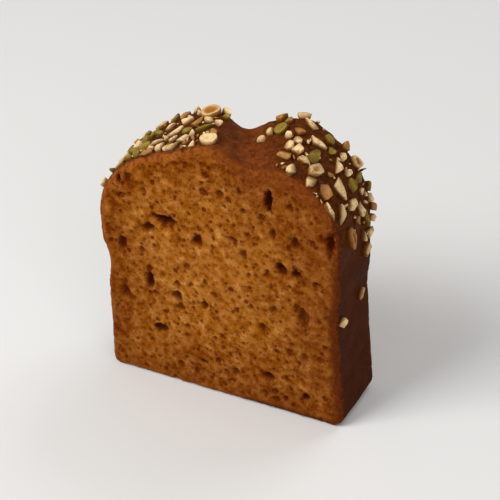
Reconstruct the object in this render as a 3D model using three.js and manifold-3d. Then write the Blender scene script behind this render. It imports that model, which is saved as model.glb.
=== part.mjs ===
// A thick slice of pumpkin bread, cut across a loaf that was baked in a tin, with chopped pumpkin
// seeds baked onto its top crust. Millimetres, +Z up.
//
// The slice stands on its bottom crust. X runs across the loaf, Y along it, so the two cut faces
// are at y = -THICKNESS / 2 (the front) and y = +THICKNESS / 2. The origin is the middle of the base.
//
// The crust is described by a bearing in degrees, seen from the front cut face and measured at the
// middle of the tin's rim: 0 is the right lip, 90 the top, 180 the left lip, and bearings below 0 or
// above 180 are on the walls that lay against the tin.
import * as THREE from 'three';
import { mergeVertices } from 'three/addons/utils/BufferGeometryUtils.js';
import Module from 'manifold-3d';

// ---- driving dimensions, mm ----
const BASE_WIDTH = 90;
const THICKNESS = 28;
const LIP_HEIGHT = 62.5; // where the wall turns into the domed top
const LEAN = -0.011; // sideways lean of the risen loaf, per mm of height

// Each side: the bottom corner's radius, the wall's half width, the lip's, how square the dome's
// shoulder is, and the waist, a shallow crease left where the dough rose over the tin's rim.
const RIGHT = {
  sign: 1, corner: 4.2, wall: 43.9, lip: 44.8, squareness: 3.7, waistHeight: 46.2, waistDepth: 0.6,
};
const LEFT = {
  sign: -1, corner: 2.2, wall: 44.3, lip: 45.2, squareness: 2.05, waistHeight: 45, waistDepth: 1.5,
};
const WAIST_SPREAD = 7;
const WALL_FOOT = 30; // height over which the wall draws in from the bottom corner
const LIP_FLARE = { below: 4, height: 14 }; // the wall widens to the lip from just below the waist

// The dome, and the two crests and the cleft in it. Each of these runs slantwise through the
// slice, so its place across (x) and its height are given at the front and at the back.
const DOME_RISE = { front: 34.5, back: 34.8 };
const LEFT_CREST = { x: { front: 0, back: -12 }, rise: { front: 3.8, back: 2.6 }, spread: 10 };
const RIGHT_CREST = { x: { front: 24.5, back: 23 }, rise: { front: 2.7, back: 7.4 }, spread: 14.5 };
const CLEFT = { x: { front: 13, back: -1 }, rise: { front: -2.1, back: -4.0 }, spread: 7 };
const DOME_FEATURES = [LEFT_CREST, RIGHT_CREST, CLEFT];
const DOME_SHOULDER = 0.7; // the crests and the cleft reach their full height at this share of the rise

// ---- seeds ----
// A seed is a chip with this many sides, widest at its waist. Its foot, waist and top are given as
// shares of its widest outline, and the waist's height as a share of its thickness.
const SEED_SHAPE = { sides: 6, foot: 0.75, waist: 1, top: 0.62, waistHeight: 0.35 };
const SEED_THICKNESS = { least: 1.3, most: 2.1 };
const SEED_UNEVENNESS = { least: 0.08, most: 0.2 };
const SEED_TILT = 0.1; // most slope of a seed against the crust
const SEED_SUNK = 1.3; // how deep a seed's foot lies in the crust
const CUT_MARGIN = 0.2; // seeds at the slice's edge are cut off this far inside the cut faces

// The conspicuous seeds: bearing and y of the middle, length, width, turn from the direction round
// the crust, in degrees.
const SHOWN_SEEDS = [
  [108, 8.5, 7, 6, 28], [102, 11.5, 4, 2.5, -20], [99, 2.5, 4, 2.5, -40], [103, -2, 6.5, 3.5, 45],
  [94, -9.5, 6, 4.5, 35], [104, -8.5, 3, 1.6, 118], [126, 11, 4.5, 2.5, 50], [133, 12, 4, 3, 30],
  [130, 5, 4.5, 3, 50], [122, -0.5, 7.5, 4, 55], [112, -6.5, 5, 4.5, 0], [140, 5, 6.5, 3, 79],
  [130, -5, 5.5, 3, 20], [136, -6, 6, 5, 0], [130, -12.5, 5, 2.5, 25], [153, 8, 4.5, 3, 30],
  [148, 7, 5, 3, 79], [116, -11.5, 5.5, 4.5, 60], [108, -12.5, 3, 2, 80], [148, 0.5, 4.5, 3, 30],
  [151, -9, 6, 3, 0], [158, -8, 2.6, 2, 0], [163.5, -11, 3.2, 2.6, 60],
  [72, 1.5, 3.5, 3, 0], [64, 4.5, 5, 5, 0], [69, 4, 4.5, 2.5, 118], [68, 11, 5, 4, 60],
  [58, 12.5, 5, 3, 28], [53, 9.5, 6, 2.5, -15], [56, 5, 5, 4, -30], [48, 4.5, 7.5, 2.8, 0],
  [45, 9.5, 4.5, 4, 0], [40, 12, 3.5, 3, 0], [56, -2.5, 4, 3.5, 0], [52, -2.5, 4, 3.5, 85],
  [55, -7, 5.5, 4.5, 0], [48, -5, 4.5, 4, 0], [46, -1.5, 6, 4, 85], [50, -11.5, 5, 3.5, 80],
  [43, -6, 7, 5, 85], [42, -10.5, 6, 4, 85], [38, 3, 6, 3, -50], [34, 5, 3, 3, 0],
  [34, 11.5, 5, 4, 0], [36, -9, 6.5, 5, -50], [32, -2.5, 8, 5, -10], [30, 4, 5, 4.5, 0],
  [30, -12, 7.5, 3, 0], [26, -7, 8, 4, -10], [24, 12.5, 4, 2, 0], [20, 11.5, 3, 2.5, 0],
  [20, 4.5, 5.5, 3, 0], [14, 7, 8, 2.5, 0], [14, -5, 9, 3, 0], [6, 6, 5.5, 2, 0],
  [-2, 7.5, 5.5, 4, 0], [-24.5, -9.5, 4.5, 3.5, 100], [-22.5, 5.5, 5, 1.4, 150],
];

// The rest are scattered over the two lobes, largest first. They lie closer together on the left lobe,
// keep off a bare band along the cleft, and end higher up both flanks at the front.
const SCATTER = { tries: 2600, longest: 5.5, shortest: 2.2 };
const SEED_SLENDERNESS = { least: 0.65, most: 0.95 }; // width as a share of the length
const SEED_SPACING = { left: 0.44, right: 0.48 }; // as a share of the two seeds' lengths
const SEEDED_BEARINGS = { right: 1, left: 175 };
const RIGHT_FLANK_END = { front: 26, back: 0 };
const LEFT_FLANK_END = { front: 146, back: 175 };
const BARE_BAND = { x: { front: 9.5, back: 2.5 }, halfWidth: { front: 12.5, back: 10 } };

// ---- holes in the crumb, where the knife opened large bubbles ----
// The conspicuous ones in the front face: x and z of the middle, width, height.
const SHOWN_HOLES = [
  [19.3, 86.5, 2.8, 9], [-19.5, 68, 8.5, 3.4], [-26.5, 63, 6, 4.5], [-37, 54.5, 3, 6], [-7.5, 63.5, 3.5, 4],
  [-27, 42, 3.2, 7.5], [-16.5, 37, 4, 5], [-6, 36.5, 2.6, 4], [-24.5, 22, 5, 3.4], [23.3, 61, 3.8, 4.4],
  [28.5, 59.5, 4.3, 4], [20.5, 73.5, 2.2, 5.5], [28.5, 71.5, 3.8, 5], [41, 74.5, 2.8, 8], [27, 85.5, 3, 3.5],
  [31, 42.5, 4.4, 10], [20, 43, 3.2, 3.8], [17.5, 14, 4.5, 4], [15.8, 6.5, 2.8, 3], [31, 9.2, 3.1, 3],
  [36, 58, 4.5, 2.4], [31, 26.5, 3, 3.8], [-36.5, 80, 1.9, 5], [-27, 78, 3.2, 2.7], [-7.7, 12.5, 4, 1.8],
];
const SCATTERED_HOLES = { front: 14, back: 34 };
const HOLE_WIDTH = { least: 1.8, most: 4.5 };
const HOLE_SLENDERNESS = { least: 0.6, most: 1.6 }; // height as a share of the width
const HOLE_GAP = 1.4; // least crumb between two holes
const HOLE_RIM = 4; // least crumb between a hole and the crust
// A hole is half of a bubble: its depth is a share of its mean width, and never less than the least.
// The bubble's middle is raised off the cut by a share of that depth.
const HOLE_SHAPE = { sides: 7, rings: 4, depthShare: 0.42, leastDepth: 0.5, lift: 0.15 };

// ---- fineness of the facets ----
const WALL_STEPS = 10;
const DOME_STEP = 4; // degrees of bearing
const CORNER_STEPS = 3;
const SLICE_STEPS = 5;
const BASE_SPLIT_X = -12; // an extra base corner, so that no facet edge runs through the origin
const NORMAL_STEP = 0.5; // degrees and mm to either side, for the crust's directions
const WELD = 1e-5;

const CRUST_COLOR = 0x7a4320;
const SEED_OF_DRAWS = 20517;

const wasm = await Module();
wasm.setup();

// ---- small helpers ----
// Numbers from 0 to 1 that are the same on every run.
function makeDraw(start) {
  let state = start >>> 0;
  return function draw() {
    state = (Math.imul(state, 1664525) + 1013904223) >>> 0;
    return state / 4294967296;
  };
}

function between(range, share) {
  return range.front + (range.back - range.front) * share;
}

function within(range, share) {
  return range.least + (range.most - range.least) * share;
}

function smooth(t) {
  const u = Math.min(Math.max(t, 0), 1);
  return u * u * (3 - 2 * u);
}

function bell(distance, spread) {
  return Math.exp(-((distance / spread) ** 2));
}

// ---- the crust ----
// Half width of the slice at a height on the wall, without the lean.
function wallHalfWidth(z, side) {
  const base = BASE_WIDTH / 2;
  const wall = base + (side.wall - base) * smooth(z / WALL_FOOT);
  const flare = smooth((z - side.waistHeight + LIP_FLARE.below) / LIP_FLARE.height);
  const lip = (side.lip - side.wall) * flare;
  return wall + lip - side.waistDepth * bell(z - side.waistHeight, WAIST_SPREAD);
}

function wallPoint(z, y, side) {
  return new THREE.Vector3(side.sign * wallHalfWidth(z, side) + LEAN * z, y, z);
}

// Height that the crests and the cleft add to the dome at a place across it.
function domeFeatures(x, share) {
  return DOME_FEATURES.reduce(
    (sum, f) => sum + between(f.rise, share) * bell(x - between(f.x, share), f.spread),
    0,
  );
}

function crustPoint(bearing, y) {
  const angle = THREE.MathUtils.degToRad(bearing);
  const across = Math.cos(angle);
  const up = Math.sin(angle);
  const side = across >= 0 ? RIGHT : LEFT;
  if (up < 0) {
    return wallPoint(LIP_HEIGHT + side.lip * up / Math.abs(across), y, side);
  }
  const share = y / THICKNESS + 0.5;
  const rise = between(DOME_RISE, share);
  const n = side.squareness;
  const reach = ((Math.abs(across) / side.lip) ** n + (up / rise) ** n) ** (-1 / n);
  const x = reach * across;
  const height = reach * up;
  const fade = smooth(height / (rise * DOME_SHOULDER));
  const z = LIP_HEIGHT + height + fade * domeFeatures(x, share);
  return new THREE.Vector3(x + LEAN * z, y, z);
}

// Outward normal, and the direction round the crust from left to right.
function crustFrame(bearing, y) {
  const round = crustPoint(bearing - NORMAL_STEP, y).sub(crustPoint(bearing + NORMAL_STEP, y));
  const along = crustPoint(bearing, y + NORMAL_STEP).sub(crustPoint(bearing, y - NORMAL_STEP));
  const normal = new THREE.Vector3().crossVectors(round, along).normalize();
  round.normalize();
  return { round, along: new THREE.Vector3().crossVectors(normal, round), normal };
}

// ---- the loaf slice without seeds and holes ----
// One ring round the slice, anticlockwise as seen from the front: base, right wall, dome, left wall.
function ring(y) {
  const points = [new THREE.Vector3(BASE_SPLIT_X, y, 0)];
  const corner = (side, turn) => {
    const angle = turn * Math.PI / 2;
    const x = side.sign * (BASE_WIDTH / 2 - side.corner * (1 - Math.sin(angle)));
    points.push(new THREE.Vector3(x, y, side.corner * (1 - Math.cos(angle))));
  };
  const wall = (side, climb) => {
    points.push(wallPoint(side.corner + climb * (LIP_HEIGHT - side.corner), y, side));
  };
  for (let i = 0; i < CORNER_STEPS; i++) corner(RIGHT, i / CORNER_STEPS);
  for (let i = 0; i < WALL_STEPS; i++) wall(RIGHT, i / WALL_STEPS);
  for (let bearing = 0; bearing <= 180; bearing += DOME_STEP) points.push(crustPoint(bearing, y));
  for (let i = WALL_STEPS - 1; i >= 0; i--) wall(LEFT, i / WALL_STEPS);
  for (let i = CORNER_STEPS - 1; i >= 0; i--) corner(LEFT, i / CORNER_STEPS);
  return points;
}

function sliceGeometry() {
  const rings = [];
  for (let k = 0; k <= SLICE_STEPS; k++) rings.push(ring((k / SLICE_STEPS - 0.5) * THICKNESS));
  const count = rings[0].length;
  const index = [];
  for (let k = 0; k < SLICE_STEPS; k++) {
    for (let i = 0; i < count; i++) {
      const a = k * count + i;
      const b = k * count + (i + 1) % count;
      index.push(a, b + count, b, a, a + count, b + count);
    }
  }
  const outline = rings[0].map((p) => new THREE.Vector2(p.x, p.z));
  const last = SLICE_STEPS * count;
  for (const [a, b, c] of THREE.ShapeUtils.triangulateShape(outline, [])) {
    index.push(a, b, c);
  }
  const backOutline = rings[SLICE_STEPS].map((p) => new THREE.Vector2(p.x, p.z));
  for (const [a, b, c] of THREE.ShapeUtils.triangulateShape(backOutline, [])) {
    index.push(last + a, last + c, last + b);
  }
  const geometry = new THREE.BufferGeometry().setFromPoints(rings.flat());
  geometry.setIndex(index);
  return geometry;
}

// ---- seeds ----
// Whether loose seeds stuck to a place on the crust.
function isSeeded(bearing, x, share) {
  const onTop = bearing > between(RIGHT_FLANK_END, share) && bearing < between(LEFT_FLANK_END, share);
  const fromBand = Math.abs(x - between(BARE_BAND.x, share));
  return onTop && fromBand > between(BARE_BAND.halfWidth, share);
}

// All seeds as rows of bearing, y, length, width, turn.
function seedRows(draw) {
  const rows = SHOWN_SEEDS.map((row) => [...row]);
  const middles = rows.map(([bearing, y]) => crustPoint(bearing, y));
  for (let i = 0; i < SCATTER.tries; i++) {
    const size = SCATTER.longest + (SCATTER.shortest - SCATTER.longest) * i / SCATTER.tries;
    const bearing = SEEDED_BEARINGS.right + draw() * (SEEDED_BEARINGS.left - SEEDED_BEARINGS.right);
    const y = (draw() - 0.5) * (THICKNESS - size);
    const width = size * within(SEED_SLENDERNESS, draw());
    const turn = 180 * draw();
    const middle = crustPoint(bearing, y);
    const spacing = middle.x < 0 ? SEED_SPACING.left : SEED_SPACING.right;
    const free = rows.every(([, , length], k) => middle.distanceTo(middles[k]) > spacing * (length + size));
    if (free && isSeeded(bearing, middle.x, y / THICKNESS + 0.5)) {
      rows.push([bearing, y, size, width, turn]);
      middles.push(middle);
    }
  }
  return rows;
}

// One chopped seed, its foot sunk in the crust.
function seedGeometry([bearing, y, length, width, turn], draw) {
  const thickness = within(SEED_THICKNESS, draw());
  const spin = 2 * Math.PI * draw();
  const uneven = within(SEED_UNEVENNESS, draw());
  const tiltRound = SEED_TILT * (2 * draw() - 1);
  const tiltAlong = SEED_TILT * (2 * draw() - 1);
  const { round, along, normal } = crustFrame(bearing, y);
  const angle = THREE.MathUtils.degToRad(turn);
  const lengthways = round.clone().multiplyScalar(Math.cos(angle)).addScaledVector(along, Math.sin(angle));
  const widthways = new THREE.Vector3().crossVectors(normal, lengthways);
  const middle = crustPoint(bearing, y);
  const { sides, foot, waist, top, waistHeight } = SEED_SHAPE;
  const levels = [[-SEED_SUNK, foot], [waistHeight * thickness, waist], [thickness, top]];
  const edge = THICKNESS / 2 - CUT_MARGIN;
  const points = [];
  for (const [height, scale] of levels) {
    for (let i = 0; i < sides; i++) {
      const around = 2 * Math.PI * (i + 0.5) / sides;
      const radius = scale * (1 + uneven * Math.cos(3 * around + spin)) / 2;
      const u = radius * length * Math.cos(around);
      const v = radius * width * Math.sin(around);
      const point = middle.clone().addScaledVector(lengthways, u).addScaledVector(widthways, v);
      point.addScaledVector(normal, height + tiltRound * u + tiltAlong * v);
      point.y = THREE.MathUtils.clamp(point.y, -edge, edge);
      points.push(point);
    }
  }
  const index = [];
  for (let level = 0; level < levels.length - 1; level++) {
    for (let i = 0; i < sides; i++) {
      const a = level * sides + i;
      const b = level * sides + (i + 1) % sides;
      index.push(a, b, b + sides, a, b + sides, a + sides);
    }
  }
  const last = (levels.length - 1) * sides;
  for (let i = 1; i < sides - 1; i++) {
    index.push(0, i + 1, i, last, last + i, last + i + 1);
  }
  const geometry = new THREE.BufferGeometry().setFromPoints(points);
  geometry.setIndex(index);
  return geometry;
}

// ---- holes ----
// Scattered holes of one cut face, kept clear of those already there and of the crust.
function scatterHoles(count, taken, draw) {
  const holes = [...taken];
  while (holes.length < taken.length + count) {
    const width = within(HOLE_WIDTH, draw() ** 2);
    const height = width * within(HOLE_SLENDERNESS, draw());
    const x = (draw() - 0.5) * BASE_WIDTH;
    const z = draw() * (LIP_HEIGHT + DOME_RISE.back);
    const reach = Math.max(width, height) / 2;
    const clear = holes.every(([x2, z2, w2, h2]) =>
      Math.hypot(x - x2, z - z2) > reach + Math.max(w2, h2) / 2 + HOLE_GAP);
    if (clear && insideCrumb(x, z, reach + HOLE_RIM)) holes.push([x, z, width, height]);
  }
  return holes;
}

// Whether a spot in a cut face lies at least this far inside the crust.
function insideCrumb(x, z, distance) {
  const side = x >= 0 ? RIGHT : LEFT;
  if (z < distance) return false;
  if (z < LIP_HEIGHT) return Math.abs(x) < wallHalfWidth(z, side) - distance;
  const across = Math.abs(x) / (side.lip - distance);
  const up = (z - LIP_HEIGHT) / (DOME_RISE.back - distance);
  return across ** side.squareness + up ** side.squareness < 1;
}

// The bubble that a hole is half of: an ellipsoid centred just outside the cut face at y.
function holeGeometry([x, z, width, height], y) {
  const depth = HOLE_SHAPE.leastDepth + HOLE_SHAPE.depthShare * Math.sqrt(width * height);
  const geometry = new THREE.SphereGeometry(1, HOLE_SHAPE.sides, HOLE_SHAPE.rings);
  geometry.scale(width / 2, depth, height / 2);
  geometry.translate(x, y * (1 + HOLE_SHAPE.lift * depth / Math.abs(y)), z);
  return geometry;
}

// ---- joining and cutting ----
function toSolid(geometry) {
  const bare = geometry.clone();
  bare.deleteAttribute('normal');
  bare.deleteAttribute('uv');
  const merged = mergeVertices(bare, WELD);
  return new wasm.Manifold(new wasm.Mesh({
    numProp: 3,
    vertProperties: new Float32Array(merged.attributes.position.array),
    triVerts: new Uint32Array(merged.index.array),
  }));
}

function toGeometry(solid) {
  const mesh = solid.getMesh();
  const geometry = new THREE.BufferGeometry();
  geometry.setAttribute('position', new THREE.BufferAttribute(new Float32Array(mesh.vertProperties), 3));
  geometry.setIndex(new THREE.BufferAttribute(new Uint32Array(mesh.triVerts), 1));
  geometry.computeVertexNormals();
  return geometry;
}

function breadSlice() {
  const draw = makeDraw(SEED_OF_DRAWS);
  const seeds = seedRows(draw);
  const front = scatterHoles(SCATTERED_HOLES.front, SHOWN_HOLES, draw);
  const back = scatterHoles(SCATTERED_HOLES.back, [], draw);
  let solid = toSolid(sliceGeometry());
  for (const row of seeds) solid = solid.add(toSolid(seedGeometry(row, draw)));
  for (const hole of front) solid = solid.subtract(toSolid(holeGeometry(hole, -THICKNESS / 2)));
  for (const hole of back) solid = solid.subtract(toSolid(holeGeometry(hole, THICKNESS / 2)));
  const material = new THREE.MeshStandardMaterial({ color: CRUST_COLOR, roughness: 0.8, metalness: 0 });
  const mesh = new THREE.Mesh(toGeometry(solid), material);
  mesh.name = 'bread_slice';
  return mesh;
}

const bread = new THREE.Group();
bread.add(breadSlice());

export default bread;
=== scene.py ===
"""Looks of a thick slice of pumpkin bread: open crumb on the two cut faces, browned crust, and chopped
pumpkin seeds baked onto the top.

Sizes are in millimetres and repeat the solid model's; meshes are turned into metres when they are made.
The slice stands on z = 0, x runs across the loaf, and the cut faces are at y = -HALF (front) and +HALF.
A pair of values is the front's and the back's, or the least and the most of a range.
"""
import math

import bpy
import numpy as np
from mathutils import Matrix, Vector


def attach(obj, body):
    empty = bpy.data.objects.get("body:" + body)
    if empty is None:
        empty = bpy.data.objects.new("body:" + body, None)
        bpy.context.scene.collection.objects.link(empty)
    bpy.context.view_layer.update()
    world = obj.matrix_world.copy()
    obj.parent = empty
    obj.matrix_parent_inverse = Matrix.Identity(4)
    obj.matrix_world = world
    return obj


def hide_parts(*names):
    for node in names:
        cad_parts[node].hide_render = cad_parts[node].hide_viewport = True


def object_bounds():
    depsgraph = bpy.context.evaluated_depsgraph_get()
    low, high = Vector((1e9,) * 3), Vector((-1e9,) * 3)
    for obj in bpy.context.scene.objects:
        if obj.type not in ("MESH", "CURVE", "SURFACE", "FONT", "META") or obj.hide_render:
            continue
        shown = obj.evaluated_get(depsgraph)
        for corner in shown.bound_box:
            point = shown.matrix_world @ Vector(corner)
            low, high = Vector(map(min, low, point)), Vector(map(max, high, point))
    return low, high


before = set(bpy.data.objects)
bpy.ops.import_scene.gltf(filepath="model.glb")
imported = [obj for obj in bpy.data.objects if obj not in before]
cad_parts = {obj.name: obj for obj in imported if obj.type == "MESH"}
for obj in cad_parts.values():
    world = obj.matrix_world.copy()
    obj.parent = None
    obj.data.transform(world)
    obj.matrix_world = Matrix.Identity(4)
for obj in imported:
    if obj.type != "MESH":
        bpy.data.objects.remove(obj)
CAD_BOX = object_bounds()
MM = 0.001
BOX_LOW, BOX_HIGH = (np.array(corner) / MM for corner in CAD_BOX)

# ---- the slice, as in the solid model ----
BASE_WIDTH = 90
THICKNESS = 28
HALF = THICKNESS / 2
LIP_HEIGHT = 62.5  # where the wall turns into the domed top
LEAN = -0.011  # sideways lean of the risen loaf, per mm of height

# Each side: the bottom corner's radius, the wall's half width, the lip's, how square the dome's shoulder
# is, and the height and depth of the waist, a crease where the dough rose over the tin's rim.
RIGHT = dict(corner=4.2, wall=43.9, lip=44.8, square=3.7, waist=46.2, waist_depth=0.6)
LEFT = dict(corner=2.2, wall=44.3, lip=45.2, square=2.05, waist=45, waist_depth=1.5)
WAIST_SPREAD = 7
WALL_FOOT = 30  # height over which the wall draws in from the bottom corner
LIP_FLARE = dict(below=4, height=14)  # the wall widens to the lip from just below the waist

DOME_RISE = (34.5, 34.8)
LEFT_CREST = dict(x=(0, -12), rise=(3.8, 2.6), spread=10)
RIGHT_CREST = dict(x=(24.5, 23), rise=(2.7, 7.4), spread=14.5)
CLEFT = dict(x=(13, -1), rise=(-2.1, -4.0), spread=7)
DOME_FEATURES = (LEFT_CREST, RIGHT_CREST, CLEFT)
DOME_SHOULDER = 0.7  # the crests and the cleft reach their full height at this share of the rise
NORMAL_STEP = 0.5  # degrees and mm to either side, for the crust's directions
TINY = 1e-9

# ---- the chopped seeds, as in the solid model ----
SEED_THICKNESS = (1.3, 2.1)
SEED_TILT = 0.1  # slope to either side
SEED_SUNK = 1.3  # how deep a seed's foot lies in the crust
CUT_MARGIN = 0.2  # seeds at the slice's edge end this far inside the cut faces
# bearing on the crust, y, length, width, turn, kind, and the form where the photograph shows it
SHOWN_SEEDS = [
    (108, 8.5, 7, 6, 28, "cream", "bowl"), (102, 11.5, 4, 2.5, -20, "cream"),
    (99, 2.5, 4, 2.5, -40, "cream"), (103, -2, 6.5, 3.5, 45, "green", "shard"),
    (94, -9.5, 6, 4.5, 35, "cream", "disc"), (104, -8.5, 3, 1.6, 118, "tan"),
    (126, 11, 4.5, 2.5, 50, "tan"), (133, 12, 4, 3, 30, "green"), (130, 5, 4.5, 3, 50, "cream"),
    (122, -0.5, 7.5, 4, 55, "cream", "chip"), (112, -6.5, 5, 4.5, 0, "cream"),
    (140, 5, 6.5, 3, 79, "green"), (130, -5, 5.5, 3, 20, "cream"), (136, -6, 6, 5, 0, "green"),
    (130, -12.5, 5, 2.5, 25, "tan"), (153, 8, 4.5, 3, 30, "green"), (148, 7, 5, 3, 79, "green"),
    (116, -11.5, 5.5, 4.5, 60, "cream", "cup"), (108, -12.5, 3, 2, 80, "tan"),
    (148, 0.5, 4.5, 3, 30, "cream"), (151, -9, 6, 3, 0, "cream"), (158, -8, 2.6, 2, 0, "green"),
    (163.5, -11, 3.2, 2.6, 60, "cream"), (72, 1.5, 3.5, 3, 0, "cream"), (64, 4.5, 5, 5, 0, "green", "disc"),
    (69, 4, 4.5, 2.5, 118, "cream"), (68, 11, 5, 4, 60, "tan"), (58, 12.5, 5, 3, 28, "cream", "chip"),
    (53, 9.5, 6, 2.5, -15, "cream", "shard"), (56, 5, 5, 4, -30, "tan", "shard"),
    (48, 4.5, 7.5, 2.8, 0, "cream", "chip"), (45, 9.5, 4.5, 4, 0, "green"), (40, 12, 3.5, 3, 0, "tan"),
    (56, -2.5, 4, 3.5, 0, "cream"), (52, -2.5, 4, 3.5, 85, "cream"), (55, -7, 5.5, 4.5, 0, "tan"),
    (48, -5, 4.5, 4, 0, "cream"), (46, -1.5, 6, 4, 85, "green"), (50, -11.5, 5, 3.5, 80, "cream", "chip"),
    (43, -6, 7, 5, 85, "cream", "cup"), (42, -10.5, 6, 4, 85, "cream", "chip"),
    (38, 3, 6, 3, -50, "cream", "wedge"), (34, 5, 3, 3, 0, "cream"), (34, 11.5, 5, 4, 0, "cream", "cup"),
    (36, -9, 6.5, 5, -50, "tan"), (32, -2.5, 8, 5, -10, "cream", "wedge"), (30, 4, 5, 4.5, 0, "green"),
    (30, -12, 7.5, 3, 0, "cream", "shard"), (26, -7, 8, 4, -10, "cream", "wedge"),
    (24, 12.5, 4, 2, 0, "green"), (20, 11.5, 3, 2.5, 0, "cream"), (20, 4.5, 5.5, 3, 0, "cream"),
    (14, 7, 8, 2.5, 0, "green", "shard"), (14, -5, 9, 3, 0, "tan", "cup"), (6, 6, 5.5, 2, 0, "cream"),
    (-2, 7.5, 5.5, 4, 0, "cream"), (-24.5, -9.5, 4.5, 3.5, 100, "cream", "chip"),
    (-22.5, 5.5, 5, 1.4, 150, "cream", "shard"),
]
SCATTER = dict(tries=2600, longest=5.5, shortest=2.2)
SEED_SLENDERNESS = (0.65, 0.95)  # width as a share of the length
SEED_SPACING = dict(left=0.44, right=0.48)  # as a share of the two seeds' lengths together
SEEDED_BEARINGS = (1, 175)
RIGHT_FLANK_END = (26, 0)  # the seeds begin at this bearing
LEFT_FLANK_END = (146, 175)  # and end at this one
BARE_BAND = dict(x=(9.5, 2.5), half_width=(12.5, 10))  # round the cleft, where no seed is scattered

# ---- the holes, as in the solid model ----
# x, z, width, height, and how dark the hole looks, which makes it deeper and sets its painted shade
SHOWN_HOLES = [
    (19.3, 86.5, 2.8, 9, 1), (-19.5, 68, 8.5, 3.4, 1), (-26.5, 63, 6, 4.5, 0.6), (-37, 54.5, 3, 6, 0.7),
    (-7.5, 63.5, 3.5, 4, 0.8), (-27, 42, 3.2, 7.5, 0.8), (-16.5, 37, 4, 5, 0.6), (-6, 36.5, 2.6, 4, 0.6),
    (-24.5, 22, 5, 3.4, 0.9), (23.3, 61, 3.8, 4.4, 1), (28.5, 59.5, 4.3, 4, 0.8), (20.5, 73.5, 2.2, 5.5, 0.5),
    (28.5, 71.5, 3.8, 5, 0.6), (41, 74.5, 2.8, 8, 0.9), (27, 85.5, 3, 3.5, 0.5), (31, 42.5, 4.4, 10, 0.4),
    (20, 43, 3.2, 3.8, 0.4), (17.5, 14, 4.5, 4, 0.7), (15.8, 6.5, 2.8, 3, 0.5), (31, 9.2, 3.1, 3, 0.9),
    (36, 58, 4.5, 2.4, 0.4), (31, 26.5, 3, 3.8, 0.4), (-36.5, 80, 1.9, 5, 0.7), (-27, 78, 3.2, 2.7, 0.4),
    (-7.7, 12.5, 4, 1.8, 0.8),
]
FRONT_SCATTERED, BACK_SCATTERED = 14, 34
# how dark a scattered hole looks: how deep it is and how much painted shade it gets
SCATTERED_DARKNESS = 0.5
HOLE_WIDTH = (1.8, 4.5)
HOLE_SLENDERNESS = (0.6, 1.6)  # height as a share of the width
HOLE_GAP = 1.4  # least crumb between two holes
HOLE_RIM = 4  # least crumb between a hole and the crust
SEED_OF_DRAWS = 20517

# ---- the slice's mesh ----
CELL = 0.48  # about the side of a cell on the cut faces
STRIP_CELL = 0.75  # length of a cell along the crust
CORNER_CELLS = 6  # round a bottom corner
DOME_SAMPLES = 2001  # for measuring the way round the dome
RIM_FADE = 5  # how far along the crust the unevenness of a cut's rim reaches
BLOCK = 4000  # points measured against the outline at once

# ---- relief; a row of noise is its height, its bumps' size, and its salt ----
FRONT_SALT, BACK_SALT, HOLE_SALT = 11, 51, 40
SWAY = ((0.22, 17, 0), (0.12, 6, 1))  # of the whole cut face, inwards only
BEND, BEND_SIZE = 0.2, 1.4  # sideways, against smooth outlines
FINE_LUMPS = ((0.42, 1.4, 5),)
BENT_LUMPS = ((0.3, 2.1, 6), (0.12, 4.2, 7))
DIMPLE_DEPTH, DIMPLES_BELOW = 0.16, 0.35  # between the lumps
PORES = (
    dict(spacing=1.9, radius=(0.35, 0.6), share=0.6, strength=0.75, more_salt=10),
    dict(spacing=2.9, radius=(0.4, 0.85), share=0.6, strength=0.8, more_salt=20),
    dict(spacing=7.5, radius=(0.8, 1.4), share=0.35, strength=0.95, more_salt=30),
)
PORE_DEPTH = 0.75  # as a share of its radius
PORE_RAGGEDNESS = 0.45
RAGGED_SIZE = (0.35, 0.8)  # of the raggedness, for a radius of 0 and of 1
PORE_EDGE = 1.25  # a pore's slope ends at this share of its radius
SMALL_PORES = 1.5  # above 1 makes small pores more frequent than large ones
HOLE_RAGGEDNESS = ((0.3, 2.4, 0), (0.28, 1.0, 1))
HOLE_EDGE = 1.2  # a hole's slope ends at this share of its radius
DEPTH_SLOPE, SHADE_SLOPE = 0.9, 0.7  # shares of the radius over which it deepens and its painted shade darkens
HOLE_DEPTH, MORE_DEPTH = 0.42, 0.6  # a share of the hole's size, and this much more
RIM_RAGGEDNESS = ((0.7, 2.4, 8), (0.4, 0.9, 9))
# of the browned rim on a cut face: everywhere, and how much more on the dome, on its right, in the cleft
RIM_WIDTH = dict(all=1.5, dome=0.8, right=1.6, cleft=3)
SKIN_WIDTH = dict(all=1.3, right=2.2)  # of the dark skin beside the wall, wider on the right
SKIN_LOSS, SKIN_LEFT = 0.6, 0.1  # the loss of width on the dome, and the strength on the left
# of the rounded edge between cut face and crust, away from the cleft and in it: on the face, on the crust
EDGE_WIDTH, EDGE_DEPTH = (1.7, 3.7), (0.8, 1.2)
ROUNDING_WIDTH, ROUNDING_DEPTH = (1.4, 3.4), (0.5, 1)
ROUNDING_NOISE = ((0.4, 2.3, 104),)
DENSE_RIM, DENSE_REACH = 0.45, 1.6  # the browned rim of the dome has shallower pores
DAMP = dict(inside=5, spread=3, low_down=0.3, strength=0.6)  # a moist streak inside the left crust
DAMP_PATCHES = ((0.6, 5, 12),)
LUMP_TONE, LUMP_CONTRAST, LUMP_DAMP = 0.5, 0.6, 0.42  # how bright the lumps are
PORE_SHADE_FULL, PORE_DAMP = 0.72, 0.3  # the depth at which a pore's painted shade is darkest
BROWN_SHADE_DEPTH, LIT_UPPER_LEFT, SHADED_RIGHT = 26, 0.35, 0.25  # how far inside the crumb is brightest: it is browned and carries painted shade toward the crust and on the right, and painted light on the dome's left
CRUST_WAVES = ((0.28, 9, 101), (0.17, 4, 102), (0.05, 1.8, 103))
CRUST_INSET = 0.18  # so that the crust's waves stay inside the solid model's box
TIN_CALM, TIN_TOP = 0.7, (50.5, 38.5)  # the tin kept the crust smoother below these heights
BASE_WAVES, BASE_TOP = 0.5, 0.5  # share of the waves elsewhere, and the height up to which it holds

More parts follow.
